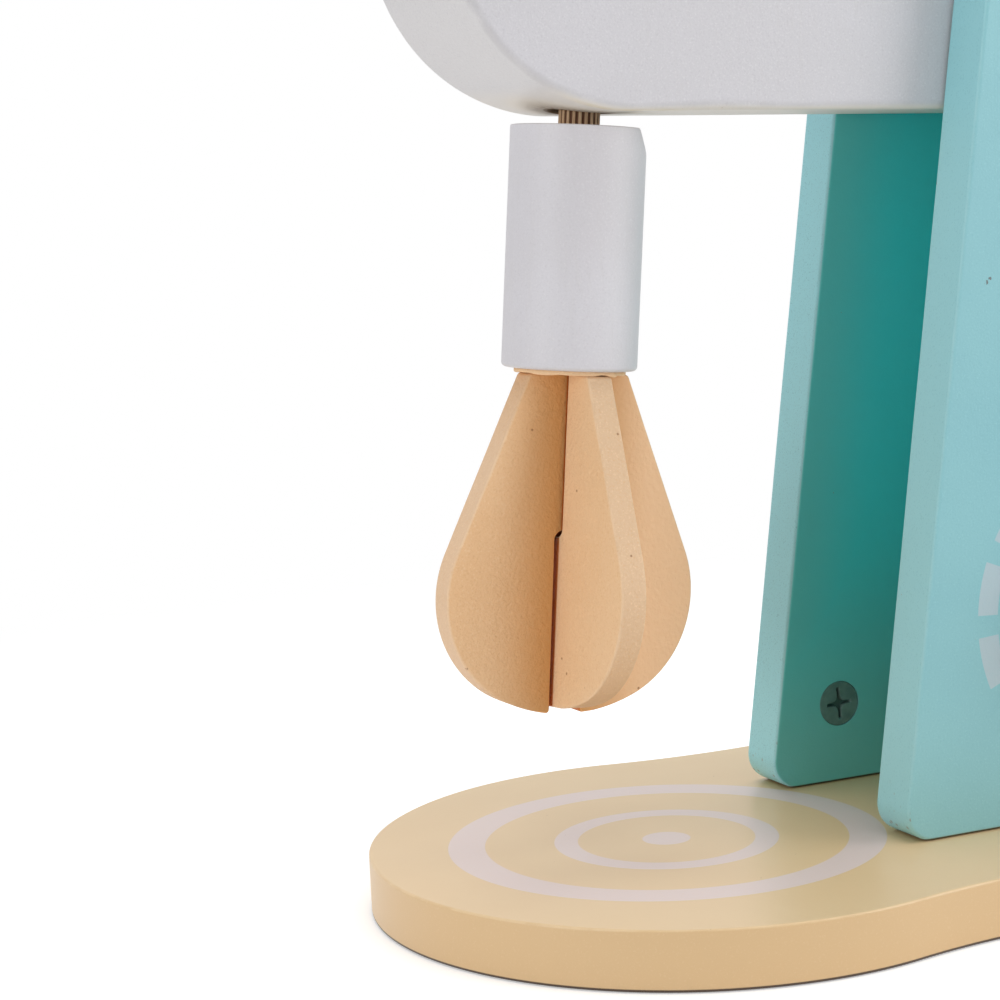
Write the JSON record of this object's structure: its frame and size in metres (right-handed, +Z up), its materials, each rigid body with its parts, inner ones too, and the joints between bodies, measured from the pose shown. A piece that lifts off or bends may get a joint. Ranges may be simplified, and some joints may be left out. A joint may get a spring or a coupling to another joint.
{
  "type": "wooden toy stand mixer",
  "caption": "Wooden toy stand mixer: tilting capsule-shaped head between tapered cheeks, hand-spun cross-lapped whisk, turning speed knob and a flat base with round ends.",
  "frame": {"origin": "middle of the base's underside, on the surface that the toy stands on", "axes": "+Z up, -X towards the nose of the head, +Y towards the far cheek, -Y towards the cheek that carries the knob"},
  "size_m": [0.266, 0.162, 0.2932],
  "materials": {
    "cream_lacquer": "satin cream lacquer on board",
    "teal_lacquer": "satin pale teal lacquer on board",
    "white_lacquer": "satin off-white lacquer on wood",
    "peach_lacquer": "matt peach lacquer on board",
    "beech": "plain beech dowel",
    "stained_beech": "fluted beech dowel, darkened",
    "dark_zinc": "dull die-cast zinc",
    "plated_steel": "zinc-plated steel",
    "nylon": "natural nylon"
  },
  "bodies": {
    "stand": {"base_board": "cream_lacquer", "near_cheek": "teal_lacquer", "far_cheek": "teal_lacquer", "back_board": "teal_lacquer", "foot_dowels": "beech", "back_dowels": "beech", "cam_locks": "dark_zinc", "cam_bolts": "plated_steel", "pivot_sleeve": "plated_steel", "pivot_bolt": "plated_steel", "friction_washers": "nylon", "knob_washer": "nylon"},
    "head": {"head_block": "white_lacquer", "well_plug": "white_lacquer"},
    "whisk": {"whisk_shaft": "stained_beech", "shaft_washer": "plated_steel", "shaft_screw": "plated_steel", "whisk_chuck": "white_lacquer", "long_blade": "peach_lacquer", "cross_blade": "peach_lacquer"},
    "knob": {"speed_knob": "white_lacquer", "knob_screw": "plated_steel"}
  },
  "joints": [
    {"name": "head_tilt", "type": "hinge", "parent": "stand", "child": "head", "pos_m": [0.052, 0, 0.243], "axis": [0, 1, 0], "range_deg": [0, 60]},
    {"name": "whisk_spin", "type": "hinge", "parent": "head", "child": "whisk", "pos_m": [-0.0743, 0, 0.1956], "axis": [0.0932, 0, 0.9956], "continuous": true},
    {"name": "knob_turn", "type": "hinge", "parent": "stand", "child": "knob", "pos_m": [0.052, -0.0395, 0.0665], "axis": [0, -1, 0], "continuous": true}
  ]
}
